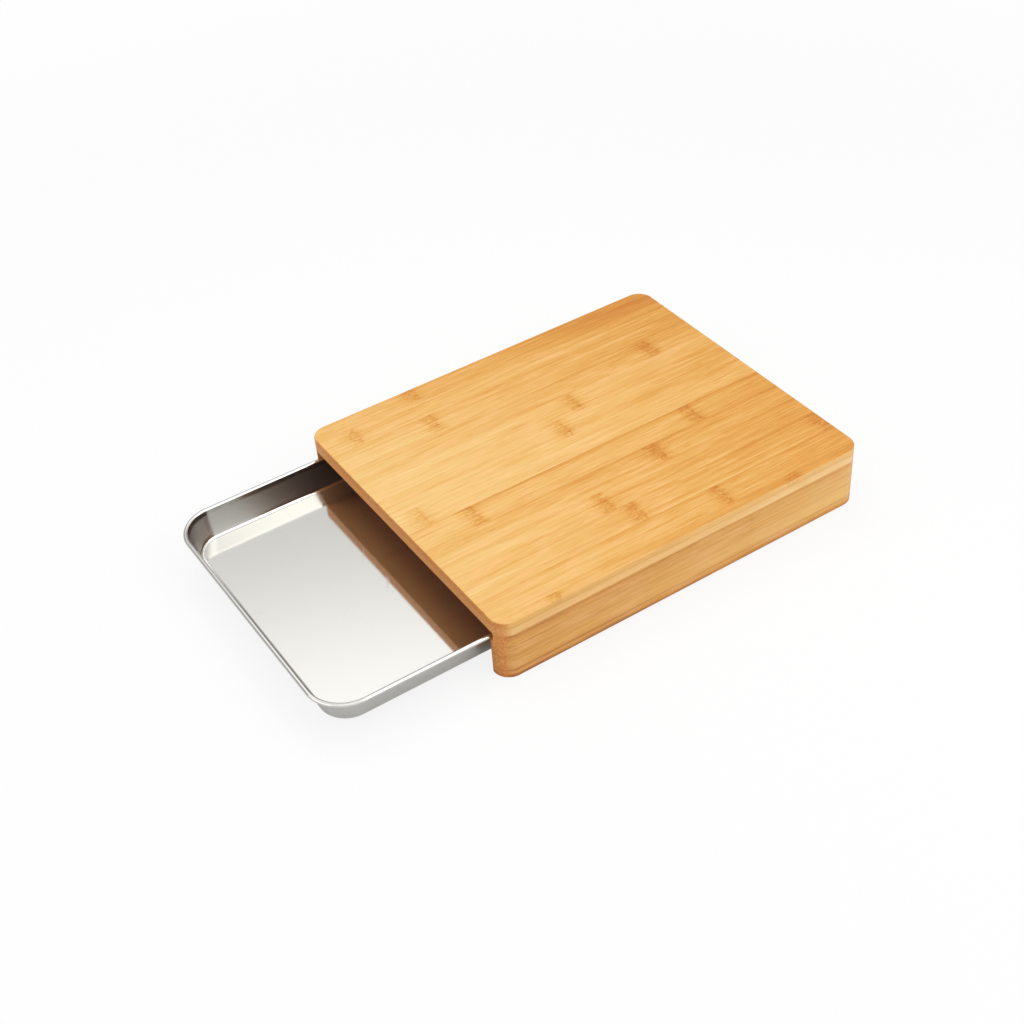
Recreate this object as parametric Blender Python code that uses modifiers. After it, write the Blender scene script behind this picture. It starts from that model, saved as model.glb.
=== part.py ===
"""A bamboo cutting board with a steel tray that pulls out from between the rails under it.

+X runs along the grain to the closed back, +Y across the board, +Z up. The origin is on the
table, in the middle of the footprint of the board and its pulled-out tray. Lengths are metres.
"""

import math

import bmesh
import bpy

# The board's outside
BOARD_LENGTH = 0.360
BOARD_WIDTH = 0.303
CORNER_RADIUS = 0.0145
EDGE_BREAK = 0.001

# The slab: a face ply and a core ply, each glued up from flat bamboo strips
FACE_PLY = 0.00535
CORE_PLY = 0.00765
NEAR_FACE_STRIP = 0.0083
FAR_FACE_STRIP = 0.0182
FULL_FACE_STRIPS = 11
CORE_STRIPS = 12
GLUE_LINE = 0.0003

# The rails that stand on the table and carry the slab
RAIL_HEIGHT = 0.0452
SIDE_RAIL = 0.0168
BACK_RAIL = 0.017
RAIL_INNER_ROUND = 0.002
FOOT_ROUND = 0.0018

# The tray: one pressed sheet whose edge is curled outwards into a round rim
TRAY_HEIGHT = 0.0265
SHEET = 0.0007
RIM_DIAMETER = 0.0039
RIM_CORNER_RADIUS = 0.0336
FLOOR_RADIUS = 0.0032
WALL_LEAN = math.radians(16.5)
CURL_TURN = math.radians(290)

# How the tray fits between the rails and in their rebates
WALL_CLEARANCE = 0.001
RIM_SIDE_CLEARANCE = 0.0028
RIM_HEADROOM = 0.0051
RUN_GAP = 0.0003
TRAY_BACK_GAP = 0.003
PULLED_OUT = 0.1415

# How far a cutter or an untrimmed strip reaches past what it is cut with
OVERRUN = 0.002

# Facets
CORNER_STEPS = 12
ROUND_STEPS = 4
BREAK_STEPS = 3
TRAY_CORNER_STEPS = 12
FLOOR_ROUND_STEPS = 4
CURL_STEPS = 14

# Worked out from the sizes above
FRONT_X = (PULLED_OUT - BOARD_LENGTH) / 2
BACK_X = FRONT_X + BOARD_LENGTH
SIDE_Y = BOARD_WIDTH / 2
PLY_LINE_Z = RAIL_HEIGHT + CORE_PLY
TOP_Z = PLY_LINE_Z + FACE_PLY
CURL_RADIUS = (RIM_DIAMETER - SHEET) / 2
RIM_REACH = CURL_RADIUS + RIM_DIAMETER / 2
TRAY_LENGTH = BOARD_LENGTH - BACK_RAIL - TRAY_BACK_GAP
WALL_HALF_WIDTH = SIDE_Y - SIDE_RAIL - WALL_CLEARANCE - SHEET / 2
WALL_HALF_LENGTH = TRAY_LENGTH / 2 - RIM_REACH
REBATE_Y = WALL_HALF_WIDTH + RIM_REACH + RIM_SIDE_CLEARANCE
LEDGE_Z = RAIL_HEIGHT - RIM_HEADROOM - RIM_DIAMETER - RUN_GAP
RIM_Z = LEDGE_Z + RUN_GAP + RIM_DIAMETER / 2
TRAY_FLOOR_Z = RIM_Z + RIM_DIAMETER / 2 - TRAY_HEIGHT + SHEET / 2

# Linear colours from the photograph, and how light each strip is beside its neighbours
FACE_COLOUR = (0.80, 0.45, 0.15)
CORE_COLOUR = (0.82, 0.52, 0.22)
RAIL_COLOUR = (0.66, 0.34, 0.11)
STEEL_COLOUR = (0.62, 0.61, 0.58)
FACE_TONE_SHARES = (0.97, 0.94, 0.98, 1.0, 0.96, 0.95, 1.02, 1.0, 1.03, 0.99, 1.0, 0.98, 0.94)
CORE_TONE_SHARES = (1.0, 0.97, 1.02, 0.98)


def fresh_scene():
    """Empties the scene, and returns the collections for the parts and for the cutters."""
    for obj in list(bpy.data.objects):
        bpy.data.objects.remove(obj, do_unlink=True)
    made = []
    for name in ("cutting_board_with_drawer", "cutters"):
        collection = bpy.data.collections.new(name)
        bpy.context.scene.collection.children.link(collection)
        made.append(collection)
    return made


def finish(name, colour, share=1.0, roughness=0.5, metallic=0.0):
    material = bpy.data.materials.new(name)
    material.use_nodes = True
    shader = material.node_tree.nodes["Principled BSDF"]
    shader.inputs["Base Color"].default_value = (*(value * share for value in colour), 1)
    shader.inputs["Roughness"].default_value = roughness
    shader.inputs["Metallic"].default_value = metallic
    return material


def add_object(name, bm, collection, material=None):
    """Turns a bmesh into an object in the collection."""
    mesh = bpy.data.meshes.new(name)
    bm.to_mesh(mesh)
    bm.free()
    obj = bpy.data.objects.new(name, mesh)
    collection.objects.link(obj)
    if material:
        mesh.materials.append(material)
    return obj


def block(low, high):
    """A bmesh box between two corners."""
    bm = bmesh.new()
    bmesh.ops.create_cube(bm, size=1)
    for vert in bm.verts:
        for axis in range(3):
            vert.co[axis] = high[axis] if vert.co[axis] > 0 else low[axis]
    return bm


def edge_middle(edge):
    return (edge.verts[0].co + edge.verts[1].co) / 2


def is_upright(edge):
    along = edge.verts[1].co - edge.verts[0].co
    return abs(along.z) > max(abs(along.x), abs(along.y))


def round_edges(bm, edges, radius, steps):
    bmesh.ops.bevel(
        bm, geom=edges, offset=radius, segments=steps, profile=0.5, affect="EDGES"
    )


def as_cutter(obj):
    obj.hide_render = True
    obj.display_type = "WIRE"
    return obj


def boolean(obj, operand, operation):
    modifier = obj.modifiers.new(operation.lower(), "BOOLEAN")
    modifier.operation = operation
    modifier.object = operand
    modifier.solver = "EXACT"


def shade(obj):
    obj.data.shade_smooth()
    obj.data.set_sharp_from_angle(angle=math.radians(35))


def board_outline(cutters):
    """The board's whole outside, with round corners and edges, to trim its pieces with."""
    bm = block((FRONT_X, -SIDE_Y, 0), (BACK_X, SIDE_Y, TOP_Z))
    round_edges(bm, [e for e in bm.edges if is_upright(e)], CORNER_RADIUS, CORNER_STEPS)
    top = max(bm.faces, key=lambda face: face.calc_center_median().z)
    round_edges(bm, list(top.edges), EDGE_BREAK, BREAK_STEPS)
    foot = min(bm.faces, key=lambda face: face.calc_center_median().z)
    round_edges(bm, list(foot.edges), FOOT_ROUND, ROUND_STEPS)
    return as_cutter(add_object("board_outline", bm, cutters))


def lay_strips(prefix, lines, low_z, high_z, outline, parts, materials):
    """Lays strips along the board between neighbouring lines, and trims them to its outline."""
    last = len(lines) - 2
    for index in range(last + 1):
        near = lines[index] + (GLUE_LINE / 2 if index else -OVERRUN)
        far = lines[index + 1] + (-GLUE_LINE / 2 if index < last else OVERRUN)
        bm = block((FRONT_X - OVERRUN, near, low_z), (BACK_X + OVERRUN, far, high_z))
        material = materials[index % len(materials)]
        strip = add_object(f"{prefix}_{index + 1:02d}", bm, parts, material)
        boolean(strip, outline, "INTERSECT")


def face_strip_lines():
    """Where the face ply's strips meet: whole strips between two ripped down at the edges."""
    first = -SIDE_Y + NEAR_FACE_STRIP
    width = (BOARD_WIDTH - NEAR_FACE_STRIP - FAR_FACE_STRIP) / FULL_FACE_STRIPS
    inner = [first + width * k for k in range(FULL_FACE_STRIPS + 1)]
    return [-SIDE_Y, *inner, SIDE_Y]


def core_strip_lines():
    width = BOARD_WIDTH / CORE_STRIPS
    return [-SIDE_Y + width * k for k in range(CORE_STRIPS + 1)]


def build_slab(outline, parts):
    half_line = GLUE_LINE / 2
    face = [finish(f"face_bamboo_{k}", FACE_COLOUR, s) for k, s in enumerate(FACE_TONE_SHARES)]
    core = [finish(f"core_bamboo_{k}", CORE_COLOUR, s) for k, s in enumerate(CORE_TONE_SHARES)]
    low, high = PLY_LINE_Z + half_line, TOP_Z + OVERRUN
    lay_strips("face_strip", face_strip_lines(), low, high, outline, parts, face)
    low, high = RAIL_HEIGHT, PLY_LINE_Z - half_line
    lay_strips("core_strip", core_strip_lines(), low, high, outline, parts, core)


def build_side_rail(name, side, outline, parts, cutters, material):
    """A side rail, with the rebate that the tray's rim runs in. side is -1 near, 1 far."""
    ends = side * (SIDE_Y - SIDE_RAIL), side * (SIDE_Y + OVERRUN)
    bm = block((FRONT_X, min(ends), 0), (BACK_X + OVERRUN, max(ends), RAIL_HEIGHT - GLUE_LINE))
    inner = [e for e in bm.edges if side * edge_middle(e).y < SIDE_Y - SIDE_RAIL / 2]
    mouth = [e for e in inner if edge_middle(e).x < PULLED_OUT / 2 and is_upright(e)]
    foot = min(inner, key=lambda edge: edge_middle(edge).z)
    round_edges(bm, [*mouth, foot], RAIL_INNER_ROUND, ROUND_STEPS)
    rail = add_object(name, bm, parts, material)
    boolean(rail, outline, "INTERSECT")

    ends = side * REBATE_Y, side * (SIDE_Y - SIDE_RAIL - OVERRUN)
    bm = block(
        (FRONT_X - OVERRUN, min(ends), LEDGE_Z),
        (BACK_X - BACK_RAIL, max(ends), RAIL_HEIGHT + OVERRUN),
    )
    boolean(rail, as_cutter(add_object(name + "_rebate", bm, cutters)), "DIFFERENCE")
    shade(rail)


def build_back_rail(outline, parts, material):
    """The rail that closes the back, between the side rails."""
    reach = SIDE_Y - SIDE_RAIL - GLUE_LINE
    bm = block(
        (BACK_X - BACK_RAIL, -reach, -OVERRUN), (BACK_X + OVERRUN, reach, RAIL_HEIGHT - GLUE_LINE)
    )
    rail = add_object("back_rail", bm, parts, material)
    boolean(rail, outline, "INTERSECT")
    shade(rail)


def tray_profile():
    """(offset, z) along the middle of the sheet, from the floor's edge to the curl's end.

    offset is how far outside the rim's inner side a point lies. The wall leans outwards and
    runs into the curl without a kink.
    """
    curl = []
    for k in range(CURL_STEPS + 1):
        turn = WALL_LEAN + (CURL_TURN - WALL_LEAN) * k / CURL_STEPS
        across = CURL_RADIUS * (1 - math.cos(turn))
        curl.append((across, RIM_Z + CURL_RADIUS * math.sin(turn)))
    wall_top, top_z = curl[0]
    wall_foot = wall_top - (top_z - TRAY_FLOOR_Z) * math.tan(WALL_LEAN)
    bend = math.pi / 2 - WALL_LEAN
    start = wall_foot - FLOOR_RADIUS * math.tan(bend / 2)
    floor = []
    for k in range(FLOOR_ROUND_STEPS + 1):
        turn = bend * k / FLOOR_ROUND_STEPS
        across = start + FLOOR_RADIUS * math.sin(turn)
        floor.append((across, TRAY_FLOOR_Z + FLOOR_RADIUS * (1 - math.cos(turn))))
    return floor + curl


def rounded_ring(offset, z):
    """The tray's plan outline, moved outwards by offset: a rectangle with round corners."""
    half_x = WALL_HALF_LENGTH + offset
    half_y = WALL_HALF_WIDTH + offset
    radius = RIM_CORNER_RADIUS - RIM_REACH + offset
    points = []
    for quarter, (sx, sy) in enumerate(((1, 1), (-1, 1), (-1, -1), (1, -1))):
        for k in range(TRAY_CORNER_STEPS + 1):
            turn = math.pi / 2 * (quarter + k / TRAY_CORNER_STEPS)
            x = sx * (half_x - radius) + radius * math.cos(turn)
            y = sy * (half_y - radius) + radius * math.sin(turn)
            points.append((x, y, z))
    return points


def build_tray(parts, material):
    """The tray, lofted from the floor up its wall and round its curled rim."""
    bm = bmesh.new()
    rings = [
        [bm.verts.new(point) for point in rounded_ring(offset, z)]
        for offset, z in tray_profile()
    ]
    bm.faces.new(rings[0])
    for inner, outer in zip(rings, rings[1:]):
        for k in range(len(inner)):
            following = (k + 1) % len(inner)
            bm.faces.new((inner[k], outer[k], outer[following], inner[following]))
    bmesh.ops.recalc_face_normals(bm, faces=bm.faces)
    tray = add_object("steel_tray", bm, parts, material)
    sheet = tray.modifiers.new("sheet", "SOLIDIFY")
    sheet.thickness = SHEET
    sheet.offset = 0
    sheet.use_even_offset = True
    shade(tray)
    runner = bpy.data.objects.new("tray_runner", None)
    parts.objects.link(runner)
    runner.location.x = FRONT_X - PULLED_OUT + TRAY_LENGTH / 2
    tray.parent = runner


def main():
    parts, cutters = fresh_scene()
    outline = board_outline(cutters)
    build_slab(outline, parts)
    rail = finish("rail_bamboo", RAIL_COLOUR, roughness=0.55)
    build_side_rail("near_rail", -1, outline, parts, cutters, rail)
    build_side_rail("far_rail", 1, outline, parts, cutters, rail)
    build_back_rail(outline, parts, rail)
    steel = finish("tray_steel", STEEL_COLOUR, roughness=0.2, metallic=1)
    build_tray(parts, steel)


main()
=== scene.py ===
"""The looks of a bamboo cutting board with a steel tray under it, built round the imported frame.

Metres, +X along the grain to the closed back, +Y across the board, +Z up.
"""

import math
from typing import NamedTuple

import bmesh
import bpy
from mathutils import Matrix, Vector


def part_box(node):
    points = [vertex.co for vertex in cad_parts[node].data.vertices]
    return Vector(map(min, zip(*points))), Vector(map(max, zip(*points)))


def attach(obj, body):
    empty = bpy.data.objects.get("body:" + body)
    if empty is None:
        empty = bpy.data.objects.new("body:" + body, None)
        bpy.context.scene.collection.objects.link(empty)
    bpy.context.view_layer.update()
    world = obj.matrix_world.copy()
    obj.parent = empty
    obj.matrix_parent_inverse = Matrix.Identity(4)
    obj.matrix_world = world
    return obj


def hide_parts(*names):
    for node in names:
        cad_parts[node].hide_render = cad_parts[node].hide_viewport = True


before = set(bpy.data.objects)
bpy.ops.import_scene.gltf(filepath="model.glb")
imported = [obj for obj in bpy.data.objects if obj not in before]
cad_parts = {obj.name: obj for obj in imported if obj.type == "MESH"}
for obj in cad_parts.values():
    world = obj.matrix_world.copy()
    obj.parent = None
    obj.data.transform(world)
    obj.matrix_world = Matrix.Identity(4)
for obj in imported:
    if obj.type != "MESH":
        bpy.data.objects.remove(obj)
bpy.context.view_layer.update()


def reach(*nodes):
    """The lowest and the highest corner of several CAD nodes together."""
    boxes = [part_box(node) for node in nodes]
    low = Vector(min(box[0][axis] for box in boxes) for axis in range(3))
    high = Vector(max(box[1][axis] for box in boxes) for axis in range(3))
    return low, high


# Places and sizes read from the frame
FACE_STRIPS = sorted(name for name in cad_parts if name.startswith("face_strip"))
CORE_STRIPS = sorted(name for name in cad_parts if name.startswith("core_strip"))
BOARD_LOW, BOARD_HIGH = reach(*FACE_STRIPS, "near_rail", "far_rail", "back_rail")
FACE_LOW, FACE_HIGH = reach(*FACE_STRIPS)
CORE_LOW, CORE_HIGH = reach(*CORE_STRIPS)
TRAY_LOW, TRAY_HIGH = reach("steel_tray")
BACK_RAIL_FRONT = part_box("back_rail")[0].x
SIDE_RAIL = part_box("near_rail")[1].y - BOARD_LOW.y
BOARD_LENGTH = BOARD_HIGH.x - BOARD_LOW.x
BOARD_MIDDLE = (BOARD_LOW.x + BOARD_HIGH.x) / 2
PLY_LINE = (FACE_LOW.z + CORE_HIGH.z) / 2
FACE_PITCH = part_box(FACE_STRIPS[2])[0].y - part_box(FACE_STRIPS[1])[0].y
CORE_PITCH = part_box(CORE_STRIPS[2])[0].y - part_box(CORE_STRIPS[1])[0].y
CAD_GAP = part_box(FACE_STRIPS[2])[0].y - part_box(FACE_STRIPS[1])[1].y
FACE_FIRST_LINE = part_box(FACE_STRIPS[1])[0].y - CAD_GAP / 2
CORE_FIRST_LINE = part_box(CORE_STRIPS[1])[0].y - CAD_GAP / 2

# The board's round corners and edges
CORNER_RADIUS = 0.0145
TOP_ROUND = 0.001
FOOT_ROUND = 0.0018
RAIL_INNER_ROUND = 0.002

# How far in from the board's side the rebate starts, and the height of its ledge
REBATE_REACH = 0.0118
REBATE_LEDGE = 0.0359

# The line left between glued pieces, how far a blank or a cutter reaches past what it meets, and
# the distance within which points are welded
GLUE_LINE = 0.00004
OVERRUN = 0.003
WELD = 0.00001

# The tray's sheet and its curled rim
SHEET = 0.0007
RIM_DIAMETER = 0.0039
RIM_CORNER_RADIUS = 0.0336
FLOOR_RADIUS = 0.0032
WALL_LEAN = math.radians(16.5)
CURL_TURN = math.radians(290)

# Facets
CORNER_STEPS = 24
ROUND_STEPS = 5
TRAY_CORNER_STEPS = 32
FLOOR_ROUND_STEPS = 12
CURL_STEPS = 24
SMOOTH_BELOW = math.radians(32)

# The camera of the photograph
CAMERA_PLACE = Vector((-0.53707, -0.90830, 0.90967))
CAMERA_AZIMUTH = math.radians(30.975)
CAMERA_ELEVATION = math.radians(40.229)
CAMERA_ROLL = math.radians(4.299)
CAMERA_LENS = 57.384
CAMERA_SENSOR = 36
CAMERA_SHIFT = -0.00873, -0.0036


def srgb(red, green, blue):
    """A colour as a picture gives it, 0 to 255, turned to linear values with alpha."""
    shares = [value / 255 for value in (red, green, blue)]
    return (*(s / 12.92 if s <= 0.04045 else ((s + 0.055) / 1.055) ** 2.4 for s in shares), 1)


class Socket:
    """An output socket. Arithmetic on it adds Math nodes to its tree."""

    def __init__(self, tree, link):
        self.tree = tree
        self.link = link

    def __add__(self, other):
        return self.tree.maths("ADD", self, other)

    def __sub__(self, other):
        return self.tree.maths("SUBTRACT", self, other)

    def __rsub__(self, other):
        return self.tree.maths("SUBTRACT", other, self)

    def __mul__(self, other):
        return self.tree.maths("MULTIPLY", self, other)

    def __truediv__(self, other):
        return self.tree.maths("DIVIDE", self, other)

    __radd__ = __add__
    __rmul__ = __mul__


class Tree:
    """A node tree under construction."""

    def __init__(self, tree):
        self.tree = tree
        tree.nodes.clear()

    def node(self, kind, settings=None, values=(), out=0):
        """Adds a node, with its settings first, then its sockets' values or links."""
        node = self.tree.nodes.new(kind)
        for key, value in (settings or {}).items():
            if key == "stops":
                self.set_stops(node.color_ramp, value)
            elif key == "interpolation":
                node.color_ramp.interpolation = value
            else:
                setattr(node, key, value)
        pairs = values.items() if isinstance(values, dict) else enumerate(values)
        for key, value in pairs:
            for one in value if isinstance(value, list) else [value]:
                if isinstance(one, Socket):
                    self.tree.links.new(one.link, node.inputs[key])
                else:
                    node.inputs[key].default_value = one
        return Socket(self, node.outputs[out]) if len(node.outputs) else node

    @staticmethod
    def set_stops(ramp, stops):
        while len(ramp.elements) > 1:
            ramp.elements.remove(ramp.elements[-1])
        for index, (place, colour) in enumerate(stops):
            element = ramp.elements[0] if index == 0 else ramp.elements.new(place)
            element.position = place
            element.color = colour

    def maths(self, operation, *values):
        return self.node("ShaderNodeMath", {"operation": operation}, values)

    def split(self, vector):
        node = self.node("ShaderNodeSeparateXYZ", values=(vector,)).link.node
        return [Socket(self, node.outputs[axis]) for axis in range(3)]

    def join(self, x, y, z):
        return self.node("ShaderNodeCombineXYZ", values=(x, y, z))

    def ramp(self, value, low, high, low_to=0.0, high_to=1.0):
        """Goes smoothly from low_to to high_to while value goes from low to high."""
        settings = {"interpolation_type": "SMOOTHSTEP"}
        return self.node("ShaderNodeMapRange", settings, (value, low, high, low_to, high_to))

    def rays(self):
        """Three sockets that are 1 for camera rays, glossy rays and rays through glass."""
        path = self.node("ShaderNodeLightPath").link.node
        names = "Is Camera Ray", "Is Glossy Ray", "Is Transmission Ray"
        return [Socket(self, path.outputs[name]) for name in names]


class Finish(Tree):
    """A material's tree."""

    def __init__(self, name):
        self.material = bpy.data.materials.new(name)
        self.material.use_nodes = True
        super().__init__(self.material.node_tree)
        self.x, self.y, self.z = self.split(self.node("ShaderNodeTexCoord", out="Object"))

    def noise(self, vector, detail=2.0, roughness=0.5):
        values = {"Vector": vector, "Scale": 1.0, "Detail": detail, "Roughness": roughness}
        return self.node("ShaderNodeTexNoise", values=values)

    def random(self, number):
        return self.node(
            "ShaderNodeTexWhiteNoise", {"noise_dimensions": "1D"}, {"W": number}, out="Value"
        )

    def bell(self, distance, width):
        """1 where distance is 0, about an eighth at width, and next to nothing at twice that."""
        share = distance / width
        return self.maths("EXPONENT", share * share * -2.0)

    def blend(self, share, first, second):
        values = {0: share, 6: first, 7: second}
        return self.node("ShaderNodeMix", {"data_type": "RGBA"}, values, out=2)

    def shader(self, **values):
        """Closes the tree with a Principled shader. Each value is named after its socket."""
        surface = self.node("ShaderNodeBsdfPrincipled", values={
            name.replace("_", " ").title().replace("Ior", "IOR"): value
            for name, value in values.items()
        })
        self.node("ShaderNodeOutputMaterial", values=(surface,))
        return self.material


class Growth(Tree):
    """A Geometry Nodes tree with named inputs. One of them is called Material."""

    def __init__(self, name, inputs):
        self.group = bpy.data.node_groups.new(name, "GeometryNodeTree")
        sockets = self.group.interface
        for title, kind in inputs.items():
            sockets.new_socket(title, in_out="INPUT", socket_type="NodeSocket" + kind)
        sockets.new_socket("Geometry", in_out="OUTPUT", socket_type="NodeSocketGeometry")
        super().__init__(self.group)
        self.entry = self.node("NodeGroupInput").link.node

    def given(self, title):
        return Socket(self, self.entry.outputs[title])

    def shape_of(self, title):
        """The geometry of the object that an input gives."""
        values = {"Object": self.given(title)}
        return self.node("GeometryNodeObjectInfo", values=values, out="Geometry")

    def end(self, geometry):
        """Makes the geometry real and gives it the material."""
        whole = self.node("GeometryNodeRealizeInstances", values=(geometry,))
        values = {"Geometry": whole, "Material": self.given("Material")}
        dressed = self.node("GeometryNodeSetMaterial", values=values)
        self.node("NodeGroupOutput", values=(dressed,))
        return self.group


# The bamboo


class Layer(NamedTuple):
    """A layer of noise in the bamboo."""

    # Waves for each metre along the grain and across it
    long: float
    wide: float
    detail: float
    roughness: float
    # How far it changes the tone or the colour, or moves something, then in metres
    depth: float


# From wide bands to single fibres
BROAD = Layer(4.0, 75.0, 2.0, 0.5, 0.4)
LINES = Layer(7.0, 540.0, 2.0, 0.5, 0.35)
FIBRES = Layer(30.0, 1000.0, 3.0, 0.6, 0.72)

# Two layers that only darken. Each sets in between its edges.
STREAKS = Layer(5.0, 210.0, 1.0, 0.5, 0.13)
STREAK_EDGES = 0.54, 0.72
BUNDLES = Layer(70.0, 800.0, 1.0, 0.5, 0.1)
BUNDLE_EDGES = 0.6, 0.74

# Patches that are rosier than the rest, but not where the tone is dark
PATCHES = Layer(26.0, 120.0, 2.0, 0.5, 0.35)
PATCH_EDGES = 0.42, 0.66
PATCH_TONES = 0.3, 0.55

# The grain's slow drift, its swirl near a node and a node's ragged course
DRIFT = Layer(6.0, 9.0, 1.0, 0.5, 0.0025)
SWIRL = Layer(90.0, 80.0, 2.0, 0.5, 0.002)
SWIRL_WIDTH = 0.024
RAGGED = Layer(30.0, 420.0, 2.0, 0.7, 0.009)

# A node is a band with a ridge line beside its middle. Each deepens the tone, and its spots deepen
# it further.
NODE_SPOTS = Layer(330.0, 560.0, 4.0, 0.7, 0.26)
NODE_WIDTH = 0.0115
NODE_DEPTH = 0.07
RIDGE_PLACE = 0.0035
RIDGE_WIDTH = 0.002
RIDGE_DEPTH = 0.04
RIDGE_SPOT_DEPTH = 0.12
SPOT_EDGES = 0.36, 0.64

# The line of a strip's joint with the next one and the shade towards it, each with its width and
# its depth, and how much of them is there at the least
JOINT_LINE = 0.0018
JOINT_LINE_DEPTH = 0.14
JOINT_SHADE = 0.0065
JOINT_SHADE_DEPTH = 0.2
JOINT_LEAST = 0.4

# The line where layers meet: its width, how clear it is at the least, and how far that changes
SEAM_WIDTH = 0.0007
SEAM_LEAST = 0.12
SEAM_CHANGE = 0.4

# For strips without shares of their own: what picks the place of the first node, how far on the
# second one lies, and how clear the joints are
NODE_SALT = 11.9
NODE_SPACING = 0.68
PLAIN_JOINT = 0.3

# How far the noise moves on from one strip to the next
STRIP_SHIFT = 7.31

# Shares of a face's normal between which its look sets in: upwards, to the side or down, and
# towards the grain's ends
FACING_UP = 0.4, 0.9
FACING_SIDE = 0.6, 0.95
FACING_END = 0.2, 0.8

# Painted sheen and light: how much the top deepens and the sides pale for each metre towards the
# back
TOP_PAINTED_SHEEN_FALL = 1.0
SIDE_PAINTED_LIGHT_RISE = 0.85

# Cut ends of the fibres for each metre of end grain, and how rough their noise is
PORES = 850.0
PORE_ROUGHNESS = 0.7

# How far the end grain and the underside's painted shade cover the grain's own colour
END_SHARE = 0.75
UNDERSIDE_SHADE_SHARE = 0.8

# Painted light: the slab's underside is paler over the tray's mouth, where light comes in, above
# these heights
MOUTH_LIGHT_DEPTH = 0.03
MOUTH_LIGHT_HEIGHTS = 0.03, 0.04

WOOD_ROUGHNESS = 0.42
FIBRE_ROUGHNESS = 0.12
END_ROUGHNESS = 0.12
WOOD_SPECULAR = 0.4
WOOD_RELIEF = 0.00008
WOOD_RELIEF_STRENGTH = 0.3

# From the dark fibres to the pale ones
FACE_COLOURS = srgb(194, 117, 30), srgb(216, 154, 67), srgb(230, 184, 108), srgb(240, 211, 150)
CORE_COLOURS = srgb(206, 144, 72), srgb(230, 176, 100), srgb(241, 192, 120), srgb(249, 210, 144)
RAIL_COLOURS = srgb(160, 88, 30), srgb(210, 144, 64), srgb(230, 172, 90), srgb(242, 196, 118)
END_COLOURS = srgb(192, 106, 40), srgb(234, 156, 80)
SIDE_COLOUR = srgb(250, 200, 120)
ROSY_COLOUR = srgb(243, 190, 130)
# The underside's colour is a painted shade, redder and darker like the shade under the slab
UNDERSIDE_SHADE_COLOUR = srgb(198, 116, 80)
# The underside's paler colour over the tray's mouth is a painted light
MOUTH_LIGHT_COLOUR = srgb(255, 170, 100)

# Tones at heights on the sides, in metres, and the heights at which layers meet
RAIL_TONES = (
    (0.0, 0.14), (0.003, 0.2), (0.0052, 0.55), (0.0085, 0.59), (0.0125, 0.76), (0.022, 0.74),
    (0.028, 0.65), (0.034, 0.7), (0.04, 0.59), (0.0435, 0.47), (0.0452, 0.5),
)
CORE_TONES = (0.0454, 0.5), (0.0466, 0.68), (0.0476, 0.82), (0.0486, 0.7), (0.0525, 0.6)
RAIL_SEAMS = 0.0088, 0.0228, 0.0333

# A share of the board's length past its end, for a strip that has no second node. No value in
# STRIP_SHARES is larger.
NO_NODE = 1.2

# For each face strip, from the near side: how light it is, where its nodes lie as shares of the
# board's length, and how clear its joint with the next strip is
STRIP_SHARES = (
    (0.43, 0.148, 0.800, 0.15),
    (0.47, 0.632, NO_NODE, 0.45),
    (0.50, 0.447, 0.985, 0.40),
    (0.52, 0.408, NO_NODE, 0.45),
    (0.49, 0.615, NO_NODE, 0.60),
    (0.49, 0.151, 0.766, 0.75),
    (0.60, 0.053, NO_NODE, 0.10),
    (0.56, 0.490, NO_NODE, 0.15),
    (0.59, 0.569, NO_NODE, 0.10),
    (0.54, 0.849, NO_NODE, 0.15),
    (0.50, 0.257, NO_NODE, 0.15),
    (0.50, 0.079, NO_NODE, 0.50),
    (0.37, 0.273, NO_NODE, 0.00),
)

# The first joint line and the pitch that make one strip of a whole rail
ONE_STRIP = -1.0, 2.0


def strip_values(t, strip, strip_shares):
    """Looks up a strip's tone, its two nodes and its joint."""
    strips = len(strip_shares)
    stops = [
        (index / strips, (*(value / NO_NODE for value in shares), joint))
        for index, (*shares, joint) in enumerate(strip_shares)
    ]
    settings = {"interpolation": "CONSTANT", "stops": stops}
    looked_up = t.node("ShaderNodeValToRGB", settings, ((strip + 0.5) / strips,))
    tone, one, two = (part * NO_NODE for part in t.split(looked_up))
    return tone, one, two, Socket(t, looked_up.link.node.outputs["Alpha"])


def tone_at_height(t, height, tones):
    stops = [(place / BOARD_HIGH.z, (tone, tone, tone, 1)) for place, tone in tones]
    return t.node("ShaderNodeValToRGB", {"stops": stops}, (height / BOARD_HIGH.z,))


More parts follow.
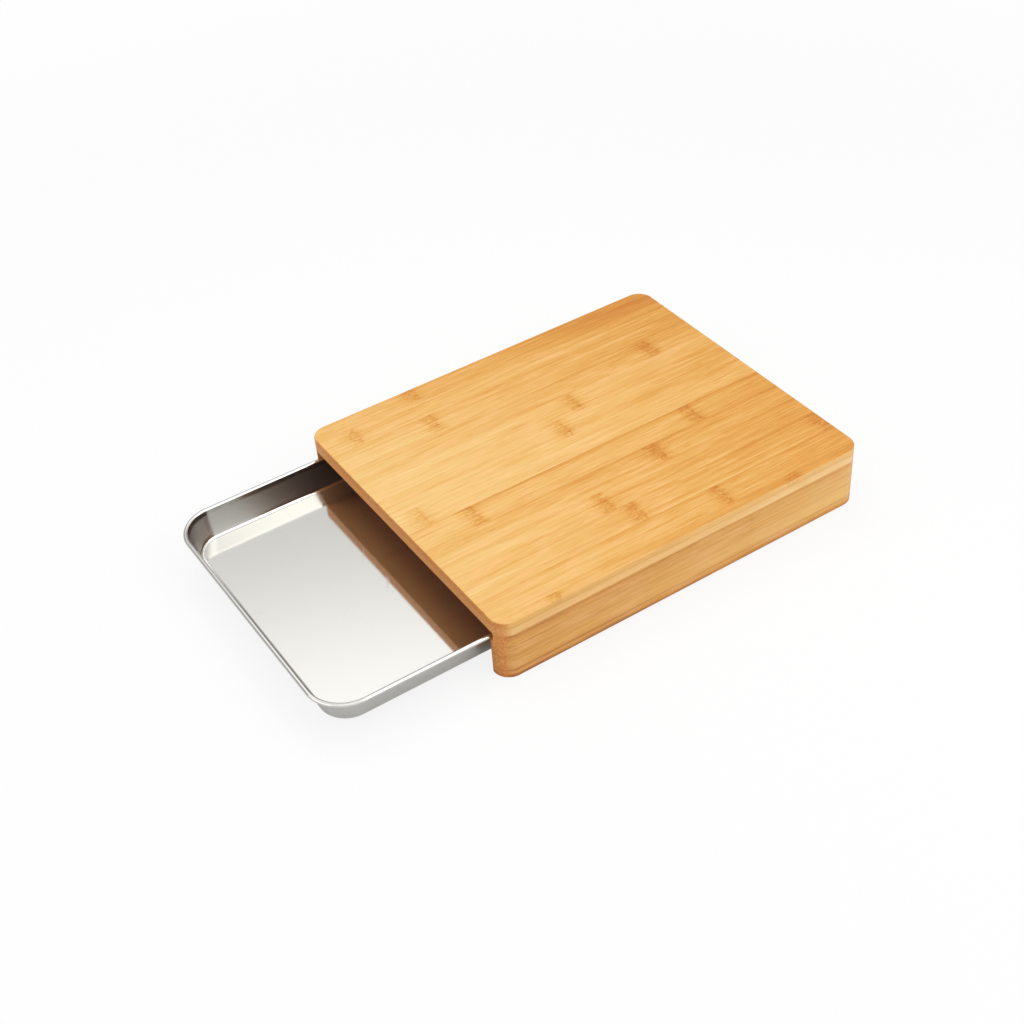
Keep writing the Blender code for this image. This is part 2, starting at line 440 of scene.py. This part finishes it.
def bamboo_finish(
    name, first_line, pitch, colours, strip_shares=None, along="x", heights=(), seams=(),
    node_depth=1.0, side_paleness=0.0,
):
    """Strips of carbonised bamboo side by side, with their fibres and nodes.

    along is the axis of the grain. heights gives the tone at some heights, where there are no
    strip_shares, and seams are the heights at which layers meet.
    """
    t = Finish(name)
    places = [t.x, t.y, t.z]
    normals = t.split(t.node("ShaderNodeTexCoord", out="Normal"))
    if along == "y":
        for values in (places, normals):
            values[0], values[1] = values[1], values[0]
    x, y, z = places
    facing, across, up = normals

    strip_place = (y - first_line) / pitch
    strip = t.maths("FLOOR", strip_place) + 1.0
    left = pitch - t.maths("FRACT", strip_place) * pitch
    shift = strip * STRIP_SHIFT
    if strip_shares:
        tone, one, two, joint = strip_values(t, strip, strip_shares)
    else:
        tone = tone_at_height(t, z, heights)
        one = t.random(strip + NODE_SALT)
        two = one + NODE_SPACING
        joint = PLAIN_JOINT

    def wander(layer):
        """A layer that moves things, from about -0.5 to 0.5."""
        vector = t.join(x * layer.long, y * layer.wide + shift, z * layer.wide)
        return t.noise(vector, layer.detail, layer.roughness) - 0.5

    # The fibres drift a little off the strip's line, and swirl where they pass a node
    ragged = wander(RAGGED)
    nodes = [
        x - BOARD_LOW.x - BOARD_LENGTH * share + ragged * RAGGED.depth for share in (one, two)
    ]

    def at_nodes(width, place=0.0):
        return t.bell(nodes[0] - place, width) + t.bell(nodes[1] - place, width)

    swirl = wander(SWIRL) * at_nodes(SWIRL_WIDTH)
    bent = wander(DRIFT) * DRIFT.depth + swirl * SWIRL.depth

    def grain(layer, moved=bent):
        vector = t.join(
            x * layer.long + shift, (y + moved) * layer.wide, (z + moved) * layer.wide
        )
        return t.noise(vector, layer.detail, layer.roughness)

    broad, lines, fibres = (grain(layer) for layer in (BROAD, LINES, FIBRES))
    light = tone + (broad - 0.5) * BROAD.depth
    light = light + (lines - 0.5) * LINES.depth + (fibres - 0.5) * FIBRES.depth
    light = light - t.ramp(grain(STREAKS), *STREAK_EDGES) * STREAKS.depth
    light = light - t.ramp(grain(BUNDLES), *BUNDLE_EDGES) * BUNDLES.depth
    # Painted light: the top darkens towards the back in place of its fading sheen, and the sides
    # lighten there in place of light
    painted_light_slope = SIDE_PAINTED_LIGHT_RISE - t.ramp(up, *FACING_UP) * (SIDE_PAINTED_LIGHT_RISE + TOP_PAINTED_SHEEN_FALL)
    light = light + (x - BOARD_MIDDLE) * painted_light_slope

    # Towards its joint with the next strip a strip deepens, down to the soft line of the joint
    edge = t.bell(left, JOINT_LINE) * JOINT_LINE_DEPTH
    edge = edge + t.ramp(left, 0.0, JOINT_SHADE, 1.0, 0.0) * JOINT_SHADE_DEPTH
    light = light - edge * joint * (JOINT_LEAST + broad)

    # A node is a ragged band of short dark fibres, darkest along one line
    spots = t.ramp(grain(NODE_SPOTS, moved=0.0), *SPOT_EDGES)
    band = at_nodes(NODE_WIDTH) * node_depth
    ridge = at_nodes(RIDGE_WIDTH, RIDGE_PLACE) * node_depth
    light = light - band * (spots * NODE_SPOTS.depth + NODE_DEPTH)
    light = light - ridge * (spots * RIDGE_SPOT_DEPTH + RIDGE_DEPTH)
    stops = [(index / (len(colours) - 1), colour) for index, colour in enumerate(colours)]
    colour = t.node("ShaderNodeValToRGB", {"stops": stops}, (light,))
    rosy = t.ramp(grain(PATCHES), *PATCH_EDGES) * t.ramp(light, *PATCH_TONES)
    colour = t.blend(rosy * PATCHES.depth, colour, ROSY_COLOUR)

    # Sides are paler than the face. Undersides are redder and darker, a painted shade, and paler
    # over the tray's mouth, a painted light
    side = t.ramp(t.maths("ABSOLUTE", across), *FACING_SIDE)
    colour = t.blend(side * side_paleness, colour, SIDE_COLOUR)
    # Painted light on the underside over the tray's mouth, fading inwards from the open end
    mouth = t.ramp(t.x, BOARD_LOW.x, BOARD_LOW.x + MOUTH_LIGHT_DEPTH, 1.0, 0.0)
    under = t.blend(mouth * t.ramp(t.z, *MOUTH_LIGHT_HEIGHTS), UNDERSIDE_SHADE_COLOUR, MOUTH_LIGHT_COLOUR)
    colour = t.blend(t.ramp(up * -1.0, *FACING_SIDE) * UNDERSIDE_SHADE_SHARE, colour, under)

    # End grain is speckled with the cut ends of the fibres, and fine lines show where layers meet
    end = t.ramp(t.maths("ABSOLUTE", facing), *FACING_END)
    pores = t.noise(t.join(x * PORES, y * PORES, z * PORES), roughness=PORE_ROUGHNESS)
    speckled = t.blend(t.ramp(pores, *SPOT_EDGES), *END_COLOURS)
    colour = t.blend(end * END_SHARE, colour, speckled)
    for height in seams:
        seam = t.bell(z - height, SEAM_WIDTH) * (SEAM_LEAST + broad * SEAM_CHANGE)
        colour = t.blend(seam, colour, colours[0])
    relief = {
        "Strength": WOOD_RELIEF_STRENGTH,
        "Distance": WOOD_RELIEF,
        "Height": fibres + lines + band * spots,
    }
    return t.shader(
        base_color=colour,
        roughness=WOOD_ROUGHNESS + (fibres - 0.5) * FIBRE_ROUGHNESS + end * END_ROUGHNESS,
        specular_ior_level=WOOD_SPECULAR,
        normal=t.node("ShaderNodeBump", values=relief),
    )


# The steel


STEEL_COLOURS = srgb(199, 198, 193), srgb(202, 201, 197)

# How many waves a metre has: of the rolling marks, along the tray and across it, of the clouds and
# of the unevenness
ROLLED = 9.0, 900.0
CLOUDS = 14.0
UNEVENNESS = 16.0
STEEL_RELIEF = 0.0003
STEEL_RELIEF_STRENGTH = 0.12

# The drawn wall's haze sets in between two heights above the tray's underside, and ends between two
# depths below its top
DRAWN_ABOVE = 0.0015, 0.006
DRAWN_BELOW = 0.006, 0.003

# The floor's own roughness, and what the rest adds to it
FLOOR_ROUGHNESS = 0.085
WALL_ROUGHNESS = 0.12
CORNER_ROUGHNESS = 0.2
ROLLED_ROUGHNESS = 0.012
CLOUD_ROUGHNESS = 0.04
SCRATCH_ROUGHNESS = 0.16

# How much of the tray's floor is a dull film over the mirror
FLOOR_HAZE = 0.035

# Scratches: the direction they run in, their waves for each metre along it and across it, how near
# to its mean the noise makes one, and the patches that they keep to
SCRATCH_COURSE = 0.55, 0.84
SCRATCH_WAVES = 9.0, 120.0
SCRATCH_WIDTH = 0.014
WORN_PATCHES = 18.0
WORN_SLICE = 7.0
WORN_EDGES = 0.58, 0.68


def steel_finish():
    """Pressed stainless sheet: a clear mirror on the floor, hazier on the walls and corners."""
    t = Finish("pressed_steel")
    along, across = ROLLED
    rolled = t.noise(t.join(t.x * along, t.y * across, t.z * across))
    clouds = t.noise(t.join(t.x * CLOUDS, t.y * CLOUDS, t.z * CLOUDS))
    uneven = t.noise(t.join(t.x * UNEVENNESS, t.y * UNEVENNESS, t.z * UNEVENNESS), detail=1.0)
    drawn = t.ramp(t.z, *(TRAY_LOW.z + height for height in DRAWN_ABOVE))
    drawn = drawn - t.ramp(t.z, *(TRAY_HIGH.z - depth for depth in DRAWN_BELOW))
    corner = 1.0
    for axis, value in enumerate((t.x, t.y)):
        half = (TRAY_HIGH - TRAY_LOW)[axis] / 2
        out = t.maths("ABSOLUTE", value - (TRAY_HIGH + TRAY_LOW)[axis] / 2)
        corner = t.ramp(out, half - RIM_CORNER_RADIUS, half - RIM_CORNER_RADIUS / 2) * corner

    # Use leaves a few fine scratches on the floor, aslant and in patches
    by_x, by_y = SCRATCH_COURSE
    along, across = SCRATCH_WAVES
    course = t.join((t.x * by_x + t.y * by_y) * along, (t.y * by_x - t.x * by_y) * across, 0.0)
    course = t.maths("ABSOLUTE", t.noise(course, detail=0.0) - 0.5)
    worn = t.noise(t.join(t.x * WORN_PATCHES, t.y * WORN_PATCHES, WORN_SLICE), detail=0.0)
    scratches = t.ramp(course, 0.0, SCRATCH_WIDTH, 1.0, 0.0) * t.ramp(worn, *WORN_EDGES)
    scratches = scratches * (1.0 - drawn)

    rough = FLOOR_ROUGHNESS + drawn * (WALL_ROUGHNESS + corner * CORNER_ROUGHNESS)
    rough = rough + (rolled - 0.5) * ROLLED_ROUGHNESS + (clouds - 0.5) * CLOUD_ROUGHNESS
    relief = {"Strength": STEEL_RELIEF_STRENGTH, "Distance": STEEL_RELIEF, "Height": uneven}
    return t.shader(
        base_color=t.blend(rolled, *STEEL_COLOURS),
        metallic=1.0 - (1.0 - drawn) * FLOOR_HAZE,
        roughness=rough + scratches * SCRATCH_ROUGHNESS,
        normal=t.node("ShaderNodeBump", values=relief),
    )


# Meshes


def put(name, data):
    """A new object in the scene."""
    obj = bpy.data.objects.new(name, data)
    bpy.context.scene.collection.objects.link(obj)
    return obj


def block(low, high):
    """A bmesh box between two corners."""
    bm = bmesh.new()
    bmesh.ops.create_cube(bm, size=1)
    for vert in bm.verts:
        vert.co = [high[axis] if vert.co[axis] > 0 else low[axis] for axis in range(3)]
    return bm


def middle(edge):
    return (edge.verts[0].co + edge.verts[1].co) / 2


def is_upright(edge):
    along = edge.verts[1].co - edge.verts[0].co
    return abs(along.z) > max(abs(along.x), abs(along.y))


def round_edges(bm, edges, radius, steps):
    bmesh.ops.bevel(bm, geom=edges, offset=radius, segments=steps, profile=0.5, affect="EDGES")


def as_object(name, bm):
    mesh = bpy.data.meshes.new(name)
    bm.to_mesh(mesh)
    bm.free()
    return put(name, mesh)


def settled(obj, name):
    """The evaluated object as a plain mesh in an object of its own. The first object goes."""
    evaluated = obj.evaluated_get(bpy.context.evaluated_depsgraph_get())
    mesh = bpy.data.meshes.new_from_object(evaluated)
    bpy.data.objects.remove(obj)
    mesh.name = name
    return put(name, mesh)


def smooth(obj):
    """Shades round edges smooth and keeps the flats flat."""
    obj.data.shade_smooth()
    obj.data.set_sharp_from_angle(angle=SMOOTH_BELOW)
    weighted = obj.modifiers.new("flat faces lead", "WEIGHTED_NORMAL")
    weighted.keep_sharp = True
    return obj


def dress(obj, material):
    obj.data.materials.clear()
    obj.data.materials.append(material)
    return obj


def board_outline():
    """The board's whole outside, with its round corners and edges."""
    bm = block((BOARD_LOW.x, BOARD_LOW.y, 0), BOARD_HIGH)
    round_edges(bm, [edge for edge in bm.edges if is_upright(edge)], CORNER_RADIUS, CORNER_STEPS)
    top = max(bm.faces, key=lambda face: face.calc_center_median().z)
    round_edges(bm, list(top.edges), TOP_ROUND, ROUND_STEPS)
    foot = min(bm.faces, key=lambda face: face.calc_center_median().z)
    round_edges(bm, list(foot.edges), FOOT_ROUND, ROUND_STEPS)
    outline = as_object("board_outline", bm)
    outline.hide_render = True
    return outline


def grow(name, group, values):
    """Runs a geometry tree with these inputs and keeps its result as a plain mesh."""
    host = put(name + "_host", bpy.data.meshes.new(name + "_host"))
    modifier = host.modifiers.new(name, "NODES")
    for item in group.interface.items_tree:
        if item.in_out == "INPUT":
            modifier[item.identifier] = values[item.name]
    modifier.node_group = group
    return settled(host, name)


def strip_laying_tree():
    """Lays equal strips side by side and trims them with the board's outline."""
    inputs = {
        "Outline": "Object", "Strips": "Int", "Pitch": "Float", "Gap": "Float", "Length": "Float",
        "Thickness": "Float", "First middle": "Vector", "Material": "Material",
    }
    t = Growth("lay_strips", inputs)
    values = {
        "Count": t.given("Strips"),
        "Start Location": t.given("First middle"),
        "Offset": t.join(0.0, t.given("Pitch"), 0.0),
    }
    line = t.node("GeometryNodeMeshLine", values=values)
    size = t.join(t.given("Length"), t.given("Pitch") - t.given("Gap"), t.given("Thickness"))
    strip = t.node("GeometryNodeMeshCube", values={"Size": size})
    laid = t.node("GeometryNodeInstanceOnPoints", values={"Points": line, "Instance": strip})
    real = t.node("GeometryNodeRealizeInstances", values=(laid,))
    settings = {"operation": "INTERSECT", "solver": "EXACT"}
    values = {"Mesh 2": [real, t.shape_of("Outline")]}
    return t.end(t.node("GeometryNodeMeshBoolean", settings, values))


def lay_ply(name, group, outline, nodes, heights, first_line, pitch, material):
    """One ply of the slab, which stands for the CAD strips."""
    low, high = heights
    values = {
        "Outline": outline,
        "Strips": len(nodes),
        "Pitch": pitch,
        "Gap": GLUE_LINE,
        "Length": BOARD_LENGTH + OVERRUN,
        "Thickness": high - low,
        "First middle": (BOARD_MIDDLE, first_line - pitch / 2, (low + high) / 2),
        "Material": material,
    }
    ply = smooth(grow(name, group, values))
    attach(ply, "board")
    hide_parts(*nodes)
    return ply


def trimmed(obj, name, *cuts):
    """Applies Booleans with other objects, each given with its operation."""
    for operand, operation in cuts:
        modifier = obj.modifiers.new(operation.lower(), "BOOLEAN")
        modifier.operation = operation
        modifier.object = operand
        modifier.solver = "EXACT"
    return settled(obj, name)


def make_side_rail(name, side, outline, material):
    """A side rail with its rebate. side is -1 near, 1 far."""
    edge = BOARD_HIGH.y
    reaches = side * (edge - SIDE_RAIL), side * (edge + OVERRUN)
    bm = block(
        (BOARD_LOW.x, min(reaches), 0),
        (BOARD_HIGH.x + OVERRUN, max(reaches), CORE_LOW.z - GLUE_LINE),
    )
    inner = [e for e in bm.edges if side * middle(e).y < edge - SIDE_RAIL / 2]
    mouth = [e for e in inner if middle(e).x < BOARD_MIDDLE and is_upright(e)]
    foot = min(inner, key=lambda e: middle(e).z)
    round_edges(bm, [*mouth, foot], RAIL_INNER_ROUND, ROUND_STEPS)
    blank = as_object(name + "_blank", bm)
    reaches = side * (edge - REBATE_REACH), side * (edge - SIDE_RAIL - OVERRUN)
    bm = block(
        (BOARD_LOW.x - OVERRUN, min(reaches), REBATE_LEDGE),
        (BACK_RAIL_FRONT, max(reaches), CORE_LOW.z + OVERRUN),
    )
    cutter = as_object("rebate", bm)
    cuts = (outline, "INTERSECT"), (cutter, "DIFFERENCE")
    rail = dress(smooth(trimmed(blank, name + "_bamboo", *cuts)), material)
    bpy.data.objects.remove(cutter)
    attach(rail, "board")
    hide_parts(name)
    return rail


def make_back_rail(outline, material):
    low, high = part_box("back_rail")
    top = CORE_LOW.z - GLUE_LINE
    half = BOARD_HIGH.y - SIDE_RAIL - GLUE_LINE
    bm = block((low.x, -half, -OVERRUN), (high.x + OVERRUN, half, top))
    blank = as_object("back_rail_blank", bm)
    rail = trimmed(blank, "back_rail_bamboo", (outline, "INTERSECT"))
    dress(smooth(rail), material)
    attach(rail, "board")
    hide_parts("back_rail")
    return rail


def tray_section():
    """The middle of the tray's sheet from the floor's edge to the curl's end, as a curve.

    Its first coordinate runs outwards from the rim's inner side, and its second downwards,
    because the sweep turns it over.
    """
    rim_height = TRAY_HIGH.z - RIM_DIAMETER / 2
    floor_height = TRAY_LOW.z + SHEET / 2
    curl_radius = (RIM_DIAMETER - SHEET) / 2
    curl = []
    for k in range(CURL_STEPS + 1):
        turn = WALL_LEAN + (CURL_TURN - WALL_LEAN) * k / CURL_STEPS
        across = curl_radius * (1 - math.cos(turn))
        curl.append((across, rim_height + curl_radius * math.sin(turn)))
    wall_top, top_height = curl[0]
    wall_foot = wall_top - (top_height - floor_height) * math.tan(WALL_LEAN)
    bend = math.pi / 2 - WALL_LEAN
    start = wall_foot - FLOOR_RADIUS * math.tan(bend / 2)
    floor = []
    for k in range(FLOOR_ROUND_STEPS + 1):
        turn = bend * k / FLOOR_ROUND_STEPS
        across = start + FLOOR_RADIUS * math.sin(turn)
        floor.append((across, floor_height + FLOOR_RADIUS * (1 - math.cos(turn))))
    points = floor + curl
    curve = bpy.data.curves.new("tray_section", "CURVE")
    line = curve.splines.new("POLY")
    line.points.add(len(points) - 1)
    for point, (across, up) in zip(line.points, points):
        point.co = (across, -up, 0, 1)
    return put("tray_section", curve)


def tray_pressing_tree():
    """Sweeps the tray's section round a rounded rectangle and closes the floor."""
    inputs = {
        "Section": "Object", "Length": "Float", "Width": "Float", "Corner radius": "Float",
        "Corner steps": "Int", "Floor height": "Float", "Middle": "Vector", "Material": "Material",
    }
    t = Growth("press_tray", inputs)
    sides = {"Width": t.given("Length"), "Height": t.given("Width")}
    corners = {
        "Curve": t.node("GeometryNodeCurvePrimitiveQuadrilateral", values=sides),
        "Count": t.given("Corner steps"),
        "Limit Radius": False,
        "Radius": t.given("Corner radius"),
    }
    plan = t.node("GeometryNodeFilletCurve", {"mode": "POLY"}, corners)
    plan = t.node("GeometryNodeSetCurveNormal", {"mode": "Z_UP"}, {"Curve": plan})
    swept = {"Curve": plan, "Profile Curve": t.shape_of("Section")}
    wall = t.node("GeometryNodeCurveToMesh", values=swept)

    # The floor fills the loop where the section starts
    beside = t.node("GeometryNodeInputMeshEdgeNeighbors")
    height = t.split(t.node("GeometryNodeInputPosition"))[2]
    equal = {"data_type": "INT", "operation": "EQUAL"}
    less = {"data_type": "FLOAT", "operation": "LESS_THAN"}
    on_border = t.node("FunctionNodeCompare", equal, {2: beside, 3: 1})
    is_low = t.node("FunctionNodeCompare", less, {0: height, 1: t.given("Floor height") + WELD})
    is_foot = t.node("FunctionNodeBooleanMath", {"operation": "AND"}, (on_border, is_low))
    loop = t.node("GeometryNodeMeshToCurve", values={"Mesh": wall, "Selection": is_foot})
    flat = t.node("GeometryNodeFillCurve", {"mode": "NGONS"}, {"Curve": loop})
    raised = {"Geometry": flat, "Translation": t.join(0.0, 0.0, t.given("Floor height"))}
    floor = t.node("GeometryNodeTransform", values=raised)
    joined = t.node("GeometryNodeJoinGeometry", values={"Geometry": [wall, floor]})
    welded = t.node("GeometryNodeMergeByDistance", values={"Geometry": joined, "Distance": WELD})
    placed = {"Geometry": welded, "Translation": t.given("Middle")}
    return t.end(t.node("GeometryNodeTransform", values=placed))


def make_tray(material):
    section = tray_section()
    rim_reach = RIM_DIAMETER - SHEET / 2
    size = TRAY_HIGH - TRAY_LOW
    values = {
        "Section": section,
        "Length": size.x - 2 * rim_reach,
        "Width": size.y - 2 * rim_reach,
        "Corner radius": RIM_CORNER_RADIUS - rim_reach,
        "Corner steps": TRAY_CORNER_STEPS,
        "Floor height": TRAY_LOW.z + SHEET / 2,
        "Middle": ((TRAY_LOW.x + TRAY_HIGH.x) / 2, 0.0, 0.0),
        "Material": material,
    }
    tray = grow("pressed_tray", tray_pressing_tree(), values)
    bpy.data.objects.remove(section)
    sheet = tray.modifiers.new("sheet", "SOLIDIFY")
    sheet.thickness = SHEET
    sheet.offset = 0
    sheet.use_even_offset = True
    tray = smooth(settled(tray, "pressed_tray"))
    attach(tray, "tray")
    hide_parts("steel_tray")


# Lights, floor and camera


# The sky's strength for light on the object, where 1 is white
SKY_LIGHT = 0.38

# What steel mirrors in the plain white sky: a brighter part overhead, a dimmer zenith on the far
# side, and low down a brighter near side and a dimmer far side. Each rises or falls between two
# elevations. All but the first also set in between two angles towards their side.
MIRRORED_CEILING = 0.72
CEILING_RISE = 38.6, 47.0
MIRRORED_ZENITH = 0.55
ZENITH_RISE = 50.0, 60.0
ZENITH_FAR = -12.0, 6.0
MIRRORED_NEAR = 0.3
NEAR_FALL = 20.0, 35.0
NEAR_SIDE = 30.0, 50.0
MIRRORED_DIP = 0.45
DIP_FALL = 26.0, 39.0
DIP_FAR = 5.0, 30.0

# How far the floor under the board is lifted to white for the camera, the distances between which
# it gets there wholly, and how far it is lifted for steel
FLOOR_LIFT = 0.85
FLOOR_FADE = 0.45, 1.6
GLOSSY_LIFT = 0.1
FLOOR_COLOUR = 0.86, 0.86, 0.86, 1
FLOOR_SIZE = 8.0
FLOOR_DROP = 0.0002
WHITE = 1, 1, 1, 1

# Azimuth from the +Y side and elevation, in degrees, distance, size, and brightness, where 1 is the
# white of the sky
SOFTBOXES = {
    "ceiling": (0.0, 90.0, 1.6, (3.4, 3.4), 0.49),
    "back_softbox": (2.0, 66.0, 1.5, (0.9, 0.7), 2.4),
    "side_softbox": (117.0, 66.0, 1.5, (0.8, 0.8), 1.4),
    "front_softbox": (150.0, 38.0, 1.7, (1.3, 0.9), 2.2),
    "open_end_softbox": (-90.0, 20.0, 1.5, (1.4, 1.0), 0.8),
}
NOT_MIRRORED = "ceiling", "back_softbox"
CEILING_SHIFT = 0.7
LAMP_AIM = Vector((0.0, 0.0, 0.03))


def direction(azimuth, elevation):
    """A unit vector. An azimuth of 0 is the +Y side."""
    flat = math.cos(elevation)
    return Vector((flat * math.sin(azimuth), flat * math.cos(azimuth), math.sin(elevation)))


def rising(t, value, low, high):
    """Goes smoothly from 0 to 1 between the sines of two angles, in degrees."""
    return t.ramp(value, math.sin(math.radians(low)), math.sin(math.radians(high)))


def set_world():
    """A plain sky, white for the camera. Steel mirrors brighter and dimmer parts in it."""
    world = bpy.data.worlds.new("studio")
    bpy.context.scene.world = world
    world.use_nodes = True
    t = Tree(world.node_tree)
    camera, glossy, through = t.rays()
    _, far, up = t.split(t.node("ShaderNodeTexCoord", out="Generated"))
    zenith = rising(t, up, *ZENITH_RISE) * rising(t, far, *ZENITH_FAR)
    near = (1.0 - rising(t, up, *NEAR_FALL)) * rising(t, far * -1.0, *NEAR_SIDE)
    dip = (1.0 - rising(t, up, *DIP_FALL)) * rising(t, far, *DIP_FAR)
    mirrored = 1.0 + rising(t, up, *CEILING_RISE) * MIRRORED_CEILING - zenith * MIRRORED_ZENITH
    mirrored = mirrored + near * MIRRORED_NEAR - dip * MIRRORED_DIP
    plain = t.maths("MAXIMUM", camera, through)
    strength = plain + glossy * mirrored + (1.0 - plain - glossy) * SKY_LIGHT
    sky = t.node("ShaderNodeBackground", values={"Color": WHITE, "Strength": strength})
    t.node("ShaderNodeOutputWorld", values=(sky,))


def make_floor():
    """A plain pale floor that keeps the shadow, and goes to white further out for the camera."""
    t = Finish("pale_floor")
    camera, glossy, through = t.rays()
    distance = t.maths("SQRT", t.x * t.x + t.y * t.y)
    plain = t.ramp(distance, *FLOOR_FADE, FLOOR_LIFT, 1.0)
    lift = (camera + through) * plain + glossy * GLOSSY_LIFT
    matt = t.node("ShaderNodeBsdfDiffuse", values={"Color": FLOOR_COLOUR})
    white = t.node("ShaderNodeEmission", values={"Color": WHITE, "Strength": 1.0})
    mixed = t.node("ShaderNodeMixShader", values=(lift, matt, white))
    t.node("ShaderNodeOutputMaterial", values=(mixed,))
    bm = bmesh.new()
    bmesh.ops.create_grid(bm, x_segments=1, y_segments=1, size=FLOOR_SIZE / 2)
    floor = dress(as_object("floor", bm), t.material)
    floor.location.z = -FLOOR_DROP


def add_softbox(name, azimuth, elevation, distance, size, brightness):
    """A soft lamp that looks at the board."""
    data = bpy.data.lights.new(name, "AREA")
    data.shape = "RECTANGLE"
    data.size, data.size_y = size
    data.energy = brightness * math.pi * data.size * data.size_y
    lamp = put(name, data)
    out = direction(math.radians(azimuth), math.radians(elevation))
    lamp.location = LAMP_AIM + out * distance
    lamp.rotation_euler = out.to_track_quat("Z", "Y").to_euler()
    return lamp


def add_lamps():
    lamps = {name: add_softbox(name, *values) for name, values in SOFTBOXES.items()}
    lamps["ceiling"].location.x -= CEILING_SHIFT
    for name in NOT_MIRRORED:
        lamps[name].visible_glossy = False


def add_camera():
    data = bpy.data.cameras.new("camera")
    data.lens = CAMERA_LENS
    data.sensor_width = CAMERA_SENSOR
    data.shift_x, data.shift_y = CAMERA_SHIFT
    camera = put("camera", data)
    ahead = direction(CAMERA_AZIMUTH, -CAMERA_ELEVATION)
    turn = ahead.to_track_quat("-Z", "Y").to_matrix() @ Matrix.Rotation(-CAMERA_ROLL, 3, "Z")
    camera.matrix_world = Matrix.Translation(CAMERA_PLACE) @ turn.to_4x4()
    bpy.context.scene.camera = camera


def main():
    bpy.context.scene.view_settings.view_transform = "Standard"
    add_camera()
    set_world()
    make_floor()
    add_lamps()

    outline = board_outline()
    laying = strip_laying_tree()
    face = bamboo_finish(
        "face_bamboo", FACE_FIRST_LINE, FACE_PITCH, FACE_COLOURS, STRIP_SHARES, seams=(PLY_LINE,),
        side_paleness=0.5,
    )
    core = bamboo_finish(
        "core_bamboo", CORE_FIRST_LINE, CORE_PITCH, CORE_COLOURS, heights=CORE_TONES,
        seams=(PLY_LINE,), node_depth=0.7,
    )
    rail, back = (
        bamboo_finish(
            name, *ONE_STRIP, RAIL_COLOURS, along=along, heights=RAIL_TONES, seams=RAIL_SEAMS,
            node_depth=0.3,
        )
        for name, along in (("rail_bamboo", "x"), ("back_rail_bamboo", "y"))
    )
    ply = lay_ply(
        "face_ply", laying, outline, FACE_STRIPS, (PLY_LINE + GLUE_LINE / 2, FACE_HIGH.z + OVERRUN),
        FACE_FIRST_LINE, FACE_PITCH, face,
    )
    ply = lay_ply(
        "core_ply", laying, outline, CORE_STRIPS, (CORE_LOW.z, PLY_LINE - GLUE_LINE / 2),
        CORE_FIRST_LINE, CORE_PITCH, core,
    )
    make_side_rail("near_rail", -1, outline, rail)
    make_side_rail("far_rail", 1, outline, rail)
    make_back_rail(outline, back)
    bpy.data.objects.remove(outline)

    make_tray(steel_finish())


main()
